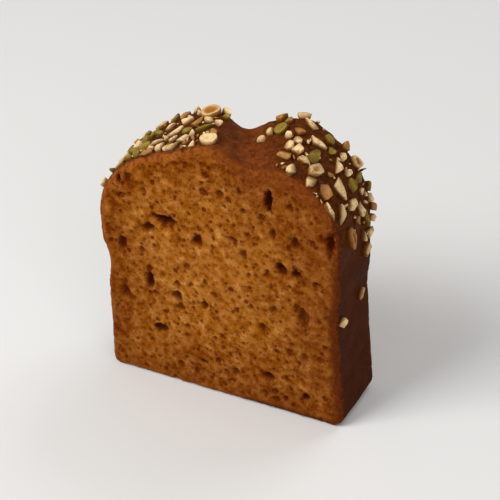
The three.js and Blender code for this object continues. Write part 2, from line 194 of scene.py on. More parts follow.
# ---- regions of the slice that look different ----
CROWN = (50.5, 74.5)  # heights over which the dome's crumb begins
DOME_CRUST = (58.5, 74.5)  # and its crust
RIGHTWARD = (-3.6, 14.4)  # x over which the right side begins
BY_THE_CLEFT = dict(x=17, spread=18)
CLEFT_CRUST_SPREAD = 11
NEAR_CUT = 3  # the crust is lighter this near to a cut face

# ---- looks of the seeds ----
SEED_OF_LOOKS = 2158  # for the broken outlines and tones of the seeds
SEED_AROUND = 28
SHARP_ANGLE = math.radians(38)
BOX_MARGIN = 0.02  # the seeds stay this far inside the solid model's box
SUNK_MARGIN = 1.5  # and what is sunk in the crust this far inside the cut faces
SUNK_BELOW = 0.09  # share of a seed's height, just less than where its broken faces end
SEED_SIDE = ((0, 0.97), (0.5, 1.0), (0.8, 0.97), (0.95, 0.9), (1.0, 0.8), (1.0, 0.7))  # height and width
SEED_FOOT = 0.8  # width of the sunk foot
HOLLOW_RINGS = ((0.3, 0.58), (0.8, 0.38), (1, 0.18))  # depth as a share of the hollow's, and width
CORNER_REACH = (0.74, 1.0)  # how far from the middle the sides of a broken outline lie
BREAK_START = (0.75, 1.0)  # how far from the middle a broken face begins
BREAK_END = 0.1  # how low a broken face reaches, as a share of the height
BREAK_FADE = 0.08
CURL, CURL_DOWN = 0.25, 0.4  # of a seed's ends, more often up than down
SEED_ROUGHNESS = ((0.12, 1.3, 300), (0.06, 0.6, 301))
ROUGH_ABOVE = 0.4
SLENDER = 0.62  # a seed more slender than this is as often a shard as a chip
BROWNED_TINT = 0.5  # how much of its pale tint a browned seed loses
CREAM_SHARE, TAN_SHARE = 0.64, 0.16
LEFT_LOBE = dict(tone=(0, 0.6), tint=(0.45, 1))
RIGHT_LOBE = dict(tone=(0, 1), tint=(0, 1))
# small bits between the seeds, the largest first
BITS = dict(tries=420, size=(2.2, 0.9), slenderness=0.6, share=0.45, margin=1.5)
BIT_THICKNESS, BIT_TILT, BIT_SUNK = 0.6, 0.2, 0.4
# conspicuous splinters: bearing, y, length, width, turn, kind, height
SPLINTERS = [
    (30.5, 12.6, 1.7, 1.0, 80, "tan", 2.6), (24, 12.2, 2.0, 1.0, 60, "green", 1.8),
    (38.5, -12.9, 1.6, 0.7, 20, "cream", 0.5), (37.3, -13.2, 1.2, 0.6, 80, "cream", 0.4),
    (35, -13.1, 1.7, 0.6, -30, "cream", 0.5),
]
SPLINTER_SUNK = 0.6
# each form of seed: how many corners and how sharp, how hollow, how tapered, how steep its broken faces,
# and for some how much thicker, how browned, how stained inside with painted shade in the hollow, and how far
# leant toward the front
FORMS = {
    "chip": dict(corners=(4, 6), rounding=12, hollow=(-0.05, 0.1), taper=(0, 0.3), ridge=(0.3, 1.1)),
    "shard": dict(corners=(4, 5), rounding=14, hollow=(0, 0.1), taper=(0.5, 0.8), ridge=(0.4, 1.1)),
    "wedge": dict(corners=(3, 3), rounding=10, hollow=(0, 0.1), taper=(0, 0.1), ridge=(0.3, 0.8)),
    "cup": dict(corners=(5, 7), rounding=8, hollow=(0.45, 0.65), taper=(0, 0.3), ridge=(0.2, 0.7)),
    "bowl": dict(corners=(8, 9), rounding=4, hollow=(0.5, 0.6), taper=(0, 0.05), ridge=(0, 0.1)),
    "disc": dict(corners=(8, 9), rounding=3, hollow=(-0.15, 0), taper=(0, 0.05), ridge=(0, 0.1)),
}
FORMS["cup"].update(thicker=1.3, stain=0.45)
FORMS["bowl"].update(thicker=1.2, stain=1, lean=0.2, browned=1)
FORMS["disc"].update(thicker=1.25, lean=0.25, browned=0.7)

# ---- colours: linear red, green and blue ----
CRUMB_TONES = (
    (0.12, (0.179, 0.038, 0.00045)), (0.3, (0.277, 0.077, 0.0018)), (0.47, (0.354, 0.116, 0.0107)),
    (0.7, (0.439, 0.166, 0.026)), (0.9, (0.582, 0.255, 0.055)),
)
CRUMB_ROSY, CRUMB_GOLDEN = (1.12, 0.9, 1.8), (0.98, 1.1, 0.6)
# the outer tone browns the crumb toward the crust and paints shade there and on the right
CRUMB_PATCH, CRUMB_EDGE_BROWN_AND_SHADE = (0.75, 0.62, 0.7), (0.64, 0.53, 0.46)
# painted shade inside the pores
PORE_SHADE_TONE = (0.095, 0.0115, 0.0002)
# painted shade inside the holes, darker in the deepest
HOLE_SHADE_TONE, DEEP_HOLE_SHADE_TONE = (0.093, 0.0112, 0.0002), (0.025, 0.0035, 0.0002)
SKIN_TONE = (0.107, 0.0197, 0.0027)
RIM_LEFT, RIM_RIGHT = (0.358, 0.09, 0.0143), (0.188, 0.041, 0.0054)
RIM_DARK, RIM_LIGHT = (0.107, 0.0179, 0.0018), (0.34, 0.098, 0.0179)
WALL_TONES = (0.042, 0.0069, 0.00036), (0.07, 0.0121, 0.00045)
TOP_TONES = (0.047, 0.0085, 0.0009), (0.103, 0.0242, 0.0031)
CLEFT_TONES = (0.085, 0.0161, 0.0018), (0.179, 0.04, 0.0054)
CRUST_SPECKLE, CRUST_PIT = (0.242, 0.067, 0.0107), (0.045, 0.0081, 0.0009)
CRUST_BY_CUT = (0.242, 0.063, 0.0081), (0.152, 0.0286, 0.0036)
# each kind of seed: its skin, the browned skin, the flesh, the side toward the crust (painted shade low on
# the seed, and darker random patches), a hollow partly stained and partly painted shade
SEED_TONES = {
    "cream": dict(
        skin=(0.95, 0.66, 0.3), deep=(0.48, 0.24, 0.055), flesh=(0.94, 0.69, 0.36),
        side=(0.16, 0.045, 0.006), hollow=(0.46, 0.17, 0.02),
    ),
    "tan": dict(
        skin=(0.48, 0.19, 0.03), deep=(0.26, 0.09, 0.013), flesh=(0.52, 0.25, 0.065),
        side=(0.1, 0.026, 0.003), hollow=(0.3, 0.11, 0.02),
    ),
    "green": dict(
        skin=(0.235, 0.14, 0.005), deep=(0.16, 0.088, 0.004), flesh=(0.39, 0.265, 0.035),
        side=(0.085, 0.032, 0.002), hollow=(0.2, 0.12, 0.01),
    ),
}

# ---- studio: sizes and places in metres, powers in watts ----
FLOOR_SIZE = 6
FLOOR_TONE = (0.78, 0.77, 0.75)
WORLD_TONE = (0.95, 0.95, 0.95)
WORLD_STRENGTH = 0.36
LIGHTS = {
    "key": dict(place=(-0.36, -0.5, 0.74), size=0.45, power=6.4),
    "fill": dict(place=(0.95, -0.85, 0.95), size=0.8, power=3.6),
    "back": dict(place=(0.3, 0.9, 1.0), size=0.8, power=4.5),
}

# ---- camera, from the photograph (pixels of a 500 by 500 picture) ----
PICTURE = 500
AZIMUTH, ELEVATION, ROLL = (math.radians(degrees) for degrees in (28.45, 35, -2.44))
CAMERA_TARGET = Vector((0, 0, 0.0505))
CAMERA_DISTANCE = 0.6945
SENSOR_WIDTH = 36
FOCAL_PIXELS = 2050
TARGET_PIXEL = (237.6, 256.0)  # where the target shows, across and down

# ---- numbers that are the same on every run ----
WORD = 4294967296  # how many whole numbers fit in 32 bits
WORD_MASK = WORD - 1
DRAW_FACTOR, DRAW_STEP = 1664525, 1013904223
CELL_FACTORS = (73856093, 19349663, 83492791)
MIX_FACTOR, MIX_STEP, SALT_FACTOR = 2246822519, 3266489917, 2654435761


class Draw:
    """Numbers from 0 to 1, the same ones as in the solid model."""

    def __init__(self, start):
        self.state = start

    def __call__(self):
        self.state = (self.state * DRAW_FACTOR + DRAW_STEP) % WORD
        return self.state / WORD


def hashed(cells, salt):
    """A number from 0 to 1 for each row of whole numbers."""
    mixed = np.full(len(cells), salt * SALT_FACTOR % WORD, dtype=np.uint64)
    for column, factor in zip(cells.T, CELL_FACTORS):
        mixed ^= (column.astype(np.int64) * factor).astype(np.uint64) & WORD_MASK
        mixed = (mixed * MIX_FACTOR + MIX_STEP) & WORD_MASK
        mixed ^= mixed >> 13
    mixed = (mixed * SALT_FACTOR) & WORD_MASK
    return (mixed ^ (mixed >> 16)) / float(WORD)


def noise(points, size, salt):
    """Smooth noise from -1 to 1 whose bumps are about the given size."""
    dims = points.shape[1]
    if dims == 2:
        turn = np.array([[math.cos(salt), -math.sin(salt)], [math.sin(salt), math.cos(salt)]])
        points = points @ turn
    scaled = points / size
    low = np.floor(scaled).astype(np.int64)
    part = smooth(scaled - low)
    total = np.zeros(len(points))
    for corner in range(2 ** dims):
        bits = np.array([(corner >> k) & 1 for k in range(dims)])
        weight = np.prod(np.where(bits, part, 1 - part), axis=1)
        total += weight * hashed(low + bits, salt)
    return 2 * total - 1


def layers(points, rows, salt=0):
    """Sum of the noises in rows of height, size and salt."""
    return sum(height * noise(points, size, salt + more) for height, size, more in rows)


# ---- small helpers ----
def between(pair, share):
    return pair[0] + (pair[1] - pair[0]) * share


def smooth(t):
    """From 0 to 1 without a kink, as t goes from 0 to 1."""
    u = np.clip(t, 0, 1)
    return u * u * (3 - 2 * u)


def rising(value, start, end):
    """From 0 to 1 without a kink, as the value goes from the start to the end."""
    return smooth((value - start) / (end - start))


def bell(distance, spread):
    return np.exp(-((distance / spread) ** 2))


def falling(distance, width):
    """1 where the distance is 0, down to 0 where it reaches the width."""
    return np.clip(1 - distance / width, 0, 1)


def pick(right, key):
    """A side's value, for each point on the right or on the left."""
    return np.where(right, RIGHT[key], LEFT[key])


def along_loaf(y):
    """Share of the way from the front to the back."""
    return y / THICKNESS + 0.5


# ---- the crust ----
def wall_half_width(z, right):
    base = BASE_WIDTH / 2
    above_waist = z - pick(right, "waist")
    wall = base + (pick(right, "wall") - base) * smooth(z / WALL_FOOT)
    flare = smooth((above_waist + LIP_FLARE["below"]) / LIP_FLARE["height"])
    lip = (pick(right, "lip") - pick(right, "wall")) * flare
    return wall + lip - pick(right, "waist_depth") * bell(above_waist, WAIST_SPREAD)


def wall_point(z, y, right):
    x = np.where(right, 1, -1) * wall_half_width(z, right) + LEAN * z
    return np.stack(np.broadcast_arrays(x, y, z), axis=-1).astype(float)


def crust_point(bearing, y):
    """Points of the crust: bearing 0 is the right lip, 90 the top, 180 the left lip."""
    bearing, y = np.broadcast_arrays(np.asarray(bearing, float), np.asarray(y, float))
    across = np.cos(np.radians(bearing))
    up = np.sin(np.radians(bearing))
    right = across >= 0
    share = along_loaf(y)
    rise = between(DOME_RISE, share)
    n = pick(right, "square")
    lip = pick(right, "lip")
    reach = ((np.abs(across) / lip) ** n + (np.maximum(up, 0) / rise) ** n) ** (-1 / n)
    x = reach * across
    height = reach * np.maximum(up, 0)
    features = sum(
        between(feature["rise"], share) * bell(x - between(feature["x"], share), feature["spread"])
        for feature in DOME_FEATURES
    )
    z = LIP_HEIGHT + height + smooth(height / (rise * DOME_SHOULDER)) * features
    dome = np.stack([x + LEAN * z, y, z], axis=-1)
    wall = wall_point(LIP_HEIGHT + lip * up / np.maximum(np.abs(across), TINY), y, right)
    return np.where((up < 0)[..., None], wall, dome)


def crust_frame(bearing, y):
    """Direction round the crust from left to right, direction along the loaf, and outward normal."""
    round_ = crust_point(bearing - NORMAL_STEP, y) - crust_point(bearing + NORMAL_STEP, y)
    along = crust_point(bearing, y + NORMAL_STEP) - crust_point(bearing, y - NORMAL_STEP)
    normal = np.cross(round_, along)
    normal /= np.linalg.norm(normal)
    round_ /= np.linalg.norm(round_)
    return round_, np.cross(normal, round_), normal


# ---- rules shared with the solid model: where seeds and holes lie ----
def is_seeded(bearing, x, y):
    """Whether the crust carries seeds there: both lobes do, and the cleft between them doesn't."""
    share = along_loaf(y)
    on_top = between(RIGHT_FLANK_END, share) < bearing < between(LEFT_FLANK_END, share)
    return on_top and abs(x - between(BARE_BAND["x"], share)) > between(BARE_BAND["half_width"], share)


def seed_rows(draw):
    """The shown seeds, and after them the scattered ones, the largest first."""
    rows = [list(row) for row in SHOWN_SEEDS]
    middles = [crust_point(row[0], row[1]) for row in rows]
    for i in range(SCATTER["tries"]):
        size = SCATTER["longest"] + (SCATTER["shortest"] - SCATTER["longest"]) * i / SCATTER["tries"]
        bearing = between(SEEDED_BEARINGS, draw())
        y = (draw() - 0.5) * (THICKNESS - size)
        width = size * between(SEED_SLENDERNESS, draw())
        turn = 180 * draw()
        middle = crust_point(bearing, y)
        spacing = SEED_SPACING["left" if middle[0] < 0 else "right"]
        gaps = np.linalg.norm(np.array(middles) - middle, axis=1)
        lengths = np.array([row[2] for row in rows])
        if np.all(gaps > spacing * (lengths + size)) and is_seeded(bearing, middle[0], y):
            rows.append([bearing, y, size, width, turn, None])
            middles.append(middle)
    return rows


def inside_crumb(x, z, distance):
    """Whether a place on a cut face is at least that far from the crust."""
    side = RIGHT if x >= 0 else LEFT
    if z < distance:
        return False
    if z < LIP_HEIGHT:
        return abs(x) < wall_half_width(z, x >= 0) - distance
    across = abs(x) / (side["lip"] - distance)
    up = (z - LIP_HEIGHT) / (DOME_RISE[1] - distance)
    return across ** side["square"] + up ** side["square"] < 1


def scatter_holes(count, taken, draw):
    """The holes taken already and that many more, none of them touching another or the crust."""
    holes = list(taken)
    while len(holes) < len(taken) + count:
        width = between(HOLE_WIDTH, draw() ** 2)
        height = width * between(HOLE_SLENDERNESS, draw())
        x = (draw() - 0.5) * BASE_WIDTH
        z = draw() * (LIP_HEIGHT + DOME_RISE[1])
        reach = max(width, height) / 2
        clear = all(
            math.hypot(x - x2, z - z2) > reach + max(w2, h2) / 2 + HOLE_GAP for x2, z2, w2, h2, _ in holes
        )
        if clear and inside_crumb(x, z, reach + HOLE_RIM):
            holes.append((x, z, width, height, SCATTERED_DARKNESS))
    return holes


# ---- meshes ----
def mesh_object(name, points, faces, numbers, materials, material_index=None):
    """An object from arrays of points (mm) and of faces, and from numbers that shade each point."""
    mesh = bpy.data.meshes.new(name)
    mesh.from_pydata((points * MM).tolist(), [], [list(face) for face in faces])
    for label, values in numbers.items():
        layer = mesh.attributes.new(label, "FLOAT", "POINT")
        layer.data.foreach_set("value", np.asarray(values, np.float32))
    for material in materials:
        mesh.materials.append(material)
    if material_index is not None:
        mesh.polygons.foreach_set("material_index", material_index)
    mesh.polygons.foreach_set("use_smooth", np.ones(len(faces), bool))
    mesh.update()
    obj = bpy.data.objects.new(name, mesh)
    bpy.context.scene.collection.objects.link(obj)
    return obj


def grid_faces(index):
    """Quads of a grid. Every other one starts at its next corner, so that no diagonal prevails."""
    corners = np.stack([index[:-1, :-1], index[1:, :-1], index[1:, 1:], index[:-1, 1:]], axis=-1)
    odd = np.add.outer(np.arange(corners.shape[0]), np.arange(corners.shape[1])) % 2 == 1
    corners[odd] = np.roll(corners[odd], -1, axis=1)
    return corners.reshape(-1, 4)


class Ring:
    """Points round the slice, anticlockwise from the front, at the same places at every y.

    They start at the left end of the flat base. A cut face's grid, `across` by `upwards` cells, has two
    corners in the middles of the bottom arcs and two as far up the ring on either side.
    """

    def __init__(self):
        self.wall = round((LIP_HEIGHT - RIGHT["corner"]) / CELL)
        self.base = 2 * round((BASE_WIDTH / 2 - RIGHT["corner"]) / CELL)
        bearings = np.linspace(0, 180, DOME_SAMPLES)
        steps = np.linalg.norm(np.diff(crust_point(bearings, 0.0), axis=0), axis=1)
        length = np.concatenate([[0], np.cumsum(steps)])
        self.dome = 2 * round(length[-1] / CELL / 2)
        self.bearings = np.interp(np.linspace(0, length[-1], self.dome + 1), length, bearings)
        self.count = self.base + 2 * CORNER_CELLS + 2 * self.wall + self.dome
        self.across = self.base + CORNER_CELLS
        self.upwards = self.count // 2 - self.across
        self.low_left = self.count - CORNER_CELLS // 2
        self.low_right = self.base + CORNER_CELLS // 2

    def arc(self, y, side, sign):
        """A bottom corner, from the base up to the wall."""
        turn = np.linspace(0, math.pi / 2, CORNER_CELLS + 1)
        x = sign * (BASE_WIDTH / 2 - side["corner"] * (1 - np.sin(turn)))
        return np.stack([x, np.full(len(turn), y), side["corner"] * (1 - np.cos(turn))], axis=1)

    def points(self, y):
        x = np.linspace(LEFT["corner"] - BASE_WIDTH / 2, BASE_WIDTH / 2 - RIGHT["corner"], self.base + 1)
        base = np.stack([x, np.full(len(x), y), 0 * x], axis=1)
        right_wall = wall_point(np.linspace(RIGHT["corner"], LIP_HEIGHT, self.wall + 1), y, True)
        left_wall = wall_point(np.linspace(LEFT["corner"], LIP_HEIGHT, self.wall + 1), y, False)
        dome = crust_point(self.bearings, y)
        right_arc, left_arc = self.arc(y, RIGHT, 1), self.arc(y, LEFT, -1)
        parts = [base, right_arc, right_wall, dome, left_wall[::-1], left_arc[::-1]]
        return np.concatenate([part[:-1] for part in parts])

    def edge_indices(self):
        """Ring indices along the bottom, right, top and left edges of a cut face's grid."""
        i = np.arange(self.across + 1)
        j = np.arange(self.upwards + 1)
        top_right = self.low_right + self.upwards
        bottom = (self.low_left + i) % self.count
        right = (self.low_right + j) % self.count
        top = (top_right + self.across - i) % self.count
        left = (self.low_left - j) % self.count
        return bottom, right, top, left


def face_grid(ring_points, edges):
    """Points of a cut face, blended between its four edges."""
    bottom, right, top, left = (ring_points[edge] for edge in edges)
    u = np.linspace(0, 1, len(bottom))[:, None, None]
    v = np.linspace(0, 1, len(left))[None, :, None]
    ruled = (1 - v) * bottom[:, None] + v * top[:, None] + (1 - u) * left[None] + u * right[None]
    low = (1 - u) * bottom[0] + u * bottom[-1]
    high = (1 - u) * top[0] + u * top[-1]
    return ruled - (1 - v) * low - v * high


# ---- relief ----
def regions(points):
    """How far up the dome, how far to the right, and how near the cleft each point lies, from 0 to 1."""
    crown = rising(points[:, 2], *CROWN)
    right = rising(points[:, 0], *RIGHTWARD)
    return crown, right, bell(points[:, 0] - BY_THE_CLEFT["x"], BY_THE_CLEFT["spread"]) * crown


def pores(flat, salt, spacing, radius, share, strength, more_salt):
    """Depth of ragged pores: one in each square of the given spacing, for that share of the squares."""
    salt += more_salt
    cell = np.floor(flat / spacing).astype(np.int64)
    ragged = 1 + PORE_RAGGEDNESS * noise(flat, between(RAGGED_SIZE, radius[1]), salt + 4)
    depth = np.zeros(len(flat))
    for dx in (-1, 0, 1):
        for dz in (-1, 0, 1):
            near = cell + (dx, dz)
            place = np.stack([hashed(near, salt), hashed(near, salt + 1)], axis=1)
            size = between(radius, hashed(near, salt + 2) ** SMALL_PORES)
            size *= hashed(near, salt + 3) < share
            away = np.linalg.norm(flat - (near + place) * spacing, axis=1) * ragged
            depth = np.maximum(depth, size * smooth(PORE_EDGE - away / np.maximum(size, TINY)))
    return strength * depth


def hole_depths(flat, holes, salt):
    """Depth of the large holes, with ragged outlines, and how much painted shade each point of them gets."""
    ragged = 1 + layers(flat, HOLE_RAGGEDNESS, salt)
    depth = np.zeros(len(flat))
    hole_shade = np.zeros(len(flat))
    for x, z, width, height, darkness in holes:
        deepest = (HOLE_DEPTH * math.sqrt(width * height) + MORE_DEPTH) * (1 + darkness) / 2
        offset = flat - (x, z)
        near = np.abs(offset).max(axis=1) < max(width, height)
        out = np.hypot(offset[near, 0] / (width / 2), offset[near, 1] / (height / 2)) * ragged[near]
        depth[near] = np.maximum(depth[near], deepest * smooth((HOLE_EDGE - out) / DEPTH_SLOPE))
        hole_shade[near] = np.maximum(hole_shade[near], darkness * smooth((HOLE_EDGE - out) / SHADE_SLOPE))
    return depth, hole_shade


def cut_face_relief(points, holes, from_crust, salt):
    """How far each point of a cut face lies behind the plane of the cut, and its shading numbers."""
    flat = points[:, [0, 2]]
    crown, right, cleft = regions(points)
    left = 1 - right

    # what the crust does to the crumb beside it: a ragged browned rim, a dark skin, a damp streak
    ragged = from_crust + layers(flat, RIM_RAGGEDNESS, salt)
    rim_width = RIM_WIDTH["all"] + crown * (RIM_WIDTH["dome"] + RIM_WIDTH["right"] * right)
    rim = falling(ragged, rim_width + RIM_WIDTH["cleft"] * cleft)
    skin = falling(ragged, SKIN_WIDTH["all"] + SKIN_WIDTH["right"] * right * (1 - SKIN_LOSS * crown))
    damp = bell(from_crust - DAMP["inside"], DAMP["spread"]) * left * between((DAMP["low_down"], 1), crown)
    damp = damp * (DAMP["strength"] + layers(flat, DAMP_PATCHES, salt))
    dense = 1 - DENSE_RIM * smooth(rim * DENSE_REACH) * crown

    # the open crumb: lumps, dimples, pores and holes
    sway = sum(height * (1 + noise(flat, size, salt + more)) for height, size, more in SWAY)
    bend = [noise(flat, BEND_SIZE, salt + 2), noise(flat, BEND_SIZE, salt + 3)]
    bent = flat + np.stack(bend, axis=1) * BEND
    lumps = layers(flat, FINE_LUMPS, salt) + layers(bent, BENT_LUMPS, salt)
    dimples = DIMPLE_DEPTH * smooth(DIMPLES_BELOW - lumps)
    open_ = np.max([pores(bent, salt, **kind) for kind in PORES], axis=0)
    hole, hole_shade = hole_depths(flat, holes, salt + HOLE_SALT)

    edge = falling(from_crust, between(EDGE_WIDTH, cleft))
    rounded = between(EDGE_DEPTH, cleft) * edge ** 2
    depth = sway + np.maximum((dimples + PORE_DEPTH * open_) * dense, hole) + rounded
    # the shading numbers: painted shade for the pores and holes, and browning with painted light and shade
    # across the face
    shading = dict(
        lumps=np.clip(LUMP_TONE + LUMP_CONTRAST * lumps * dense - LUMP_DAMP * damp, 0, 1),
        pore_shade=np.clip(open_ / PORE_SHADE_FULL * dense * (1 + PORE_DAMP * damp), 0, 1),
        hole=hole_shade,
        rim=rim,
        inner=np.clip(from_crust / BROWN_SHADE_DEPTH + LIT_UPPER_LEFT * crown * left - SHADED_RIGHT * right, 0, 1),
        edge=skin * between((SKIN_LEFT, 1), right * (1 - crown)),
    )
    return depth, shading


def crust_relief(points):
    """How far the crust stands out from its smooth form, never outwards on the base."""
    waves = layers(points, CRUST_WAVES)
    waves *= 1 - TIN_CALM * rising(points[:, 2], *TIN_TOP)
    on_base = points[:, 2] < BASE_TOP
    return np.where(on_base, -np.abs(waves) * BASE_WAVES, waves - CRUST_INSET)


def ring_normals(ring_points):
    """Outward normals across the slice, in the plane of the cut."""
    ahead = np.roll(ring_points, -2, axis=0) - np.roll(ring_points, 2, axis=0)
    normal = np.stack([ahead[:, 2], 0 * ahead[:, 0], -ahead[:, 0]], axis=1)
    return normal / np.linalg.norm(normal, axis=1, keepdims=True)


def nearest(flat, outline):
    """Distance from each point to the nearest point of an outline."""
    result = np.empty(len(flat))
    for start in range(0, len(flat), BLOCK):
        block = flat[start:start + BLOCK]
        gaps = np.hypot(block[:, None, 0] - outline[None, :, 0], block[:, None, 1] - outline[None, :, 1])
        result[start:start + BLOCK] = gaps.min(axis=1)
    return result


# ---- the slice ----
def rough_ring(ring, y):
    """The ring's points at one y, with the crust's relief, drawn in toward the cut faces."""
    points = ring.points(y)
    cleft = regions(points)[2]
    from_cut = HALF - np.abs(points[:, 1])
    rounding = falling(from_cut, between(ROUNDING_WIDTH, cleft)) ** 2
    rounding *= between(ROUNDING_DEPTH, cleft) * (1 + layers(points, ROUNDING_NOISE))
    return points + ring_normals(points) * (crust_relief(points) - rounding)[:, None]


def build_slice(front_holes, back_holes, materials):
    """The slice as one closed mesh: two cut faces as grids, and the crust as a strip between their rims."""
    ring = Ring()
    edges = ring.edge_indices()
    steps = round(THICKNESS / STRIP_CELL)
    ys = np.linspace(-HALF, HALF, steps + 1)
    rings = [rough_ring(ring, y) for y in ys]
    grid_shape = (ring.across + 1, ring.upwards + 1)
    grid_size = grid_shape[0] * grid_shape[1]

    def around(grid):
        """The values that a cut face's grid has at its rim, in the order of the ring."""
        rim = np.empty(ring.count, grid.dtype)
        for edge, values in zip(edges, (grid[:, 0], grid[-1], grid[:, -1], grid[0])):
            rim[edge] = values
        return rim

    grids, rim_depths, shadings = [], [], []
    ends = ((0, front_holes, FRONT_SALT, 1), (-1, back_holes, BACK_SALT, -1))
    for end, holes, salt, inward in ends:
        grid = face_grid(rings[end], edges).reshape(-1, 3)
        from_crust = nearest(grid[:, [0, 2]], rings[end][:, [0, 2]])
        depth, shading = cut_face_relief(grid, holes, from_crust, salt)
        grid[:, 1] += inward * depth
        grids.append(grid)
        rim_depths.append(around(depth.reshape(grid_shape)))
        shadings.append(shading)
    for y, points in zip(ys, rings):
        points[:, 1] += rim_depths[0] * falling(y + HALF, RIM_FADE)
        points[:, 1] -= rim_depths[1] * falling(HALF - y, RIM_FADE)
    points = np.concatenate(grids + rings[1:-1])

    front_index = np.arange(grid_size).reshape(grid_shape)
    back_index = front_index + grid_size
    inner = np.arange((steps - 1) * ring.count).reshape(steps - 1, ring.count) + 2 * grid_size
    strip = np.vstack([around(front_index), inner, around(back_index)])
    strip_faces = grid_faces(np.hstack([strip, strip[:, :1]]))
    faces = np.concatenate([grid_faces(front_index), grid_faces(back_index)[:, ::-1], strip_faces])
    material_index = np.zeros(len(faces), np.int32)
    material_index[-len(strip_faces):] = 1

    on_strip = np.zeros(inner.size)
    numbers = {
        label: np.concatenate([shading[label] for shading in shadings] + [on_strip]) for label in shadings[0]
    }
    _, right, cleft = regions(points)
    dome = rising(points[:, 2], *DOME_CRUST)
    from_cleft = points[:, 0] - between(BARE_BAND["x"], along_loaf(points[:, 1]))
    near_cut = falling(HALF - np.abs(ys[1:-1]), NEAR_CUT)
    numbers["dome"] = dome
    numbers["cleft"] = bell(from_cleft, CLEFT_CRUST_SPREAD) * dome
    numbers["baked"] = np.clip(right + cleft, 0, 1)
    numbers["near_cut"] = np.concatenate([np.ones(2 * grid_size), np.repeat(near_cut, ring.count)])
    return mesh_object("bread", points, faces, numbers, materials, material_index)


# ---- the seeds ----
def seed_outline(theta, form, look):
    """Outline of a broken chip, a polygon with rounded corners, from -1 to 1 along and across it."""
    corners = int(between(form["corners"], look()) + 0.5)
    first = look()
    facing = 0
    for k in range(corners):
        toward = 2 * math.pi * (k + first + 0.5 * (look() - 0.5)) / corners
        distance = between(CORNER_REACH, look())
        facing = facing + (np.maximum(np.cos(theta - toward), 0) / distance) ** form["rounding"]
    radius = facing ** (-1 / form["rounding"])
    u, v = radius * np.cos(theta), radius * np.sin(theta)
    return u / np.abs(u).max(), v / np.abs(v).max()


def seed_piece(row, thickness, tilt, sunk, look, form):
    """Points, faces and shading numbers of one chopped seed, made of rings from its foot to its middle."""
    bearing, y, length, width, turn = row[:5]
    round_, along, normal = crust_frame(bearing, y)
    angle = math.radians(turn)
    lengthways = round_ * math.cos(angle) + along * math.sin(angle)
    widthways = np.cross(normal, lengthways)
    middle = crust_point(bearing, y)
    theta = 2 * math.pi * np.arange(SEED_AROUND) / SEED_AROUND
    edge_u, edge_v = seed_outline(theta, form, look)
    hollow = between(form["hollow"], look())
    taper = between(form["taper"], look()) * (1 if look() < 0.5 else -1)
    curl = CURL * (look() - CURL_DOWN)
    breaks = [
        (2 * math.pi * look(), between(BREAK_START, look()), between(form["ridge"], look())) for _ in range(2)
    ]

    levels = [(-sunk / thickness, SEED_FOOT), *SEED_SIDE]
    levels += [(1 - depth * hollow, scale) for depth, scale in HOLLOW_RINGS]
    rings, inner, high, broken = [], [], [], []
    for height, scale in levels:
        u = scale * edge_u
        v = scale * edge_v * (1 - taper * u) / (1 + abs(taper) * 0.5)
        top = np.full(SEED_AROUND, float(height))
        for toward, start, slope in breaks:
            plane = start - slope * (u * math.cos(toward) + v * math.sin(toward))
            top = np.minimum(top, np.maximum(plane, BREAK_END))
        lift = (top + curl * u ** 2) * thickness
        u, v = u * length / 2, v * width / 2
        lift = lift + (tilt[0] * u + (tilt[1] + form.get("lean", 0)) * v)
        rings.append(middle + u[:, None] * lengthways + v[:, None] * widthways + lift[:, None] * normal)
        # more toward the hollow's middle, for its stain and its painted shade
        inner.append(np.full(SEED_AROUND, (1 - scale) * form.get("stain", 0)))
        high.append(top)
        broken.append(np.clip((height - top) / BREAK_FADE, 0, 1))
    for end in (-1, 0):
        rings.append(rings[end].mean(axis=0)[None])
        for values in (inner, high, broken):
            values.append(values[end][:1])

    points, inner, high, broken = (np.concatenate(values) for values in (rings, inner, high, broken))
    points += normal * (layers(points, SEED_ROUGHNESS) * (high > ROUGH_ABOVE))[:, None]
    reach = HALF - np.where(high > SUNK_BELOW, CUT_MARGIN, SUNK_MARGIN)
    points[:, 1] = np.clip(points[:, 1], -reach, reach)
    points = np.clip(points, BOX_LOW + BOX_MARGIN, BOX_HIGH - BOX_MARGIN)
    index = np.arange(len(levels) * SEED_AROUND).reshape(len(levels), SEED_AROUND)
    index = np.hstack([index, index[:, :1]])
    bottom, top = index[0], index[-1]
    faces = grid_faces(index)[:, ::-1].tolist()
    faces += [[top[i], top[i + 1], len(points) - 2] for i in range(SEED_AROUND)]
    faces += [[bottom[i + 1], bottom[i], len(points) - 1] for i in range(SEED_AROUND)]
    return points, faces, dict(inner=inner, high=high, broken=broken)


def bit_rows(look):
    """Small bits lying between the seeds."""
    bits = []
    for i in range(BITS["tries"]):
        size = between(BITS["size"], i / BITS["tries"])
        bearing = between(SEEDED_BEARINGS, look())
        y = (look() - 0.5) * (THICKNESS - 2 * BITS["margin"])
        turn = 180 * look()
        if is_seeded(bearing, crust_point(bearing, y)[0], y) and look() < BITS["share"]:
            bits.append([bearing, y, size, size * BITS["slenderness"], turn, None])
    return bits


def build_pile(name, pile, material):
    """One mesh from a list of seeds, each given by its points, its faces and its shading numbers."""
    starts = np.cumsum([0] + [len(points) for points, _, _ in pile])
    faces = [[corner + start for corner in face] for start, (_, own, _) in zip(starts, pile) for face in own]
    numbers = {label: np.concatenate([own[label] for _, _, own in pile]) for label in pile[0][2]}
    return mesh_object(name, np.concatenate([points for points, _, _ in pile]), faces, numbers, [material])


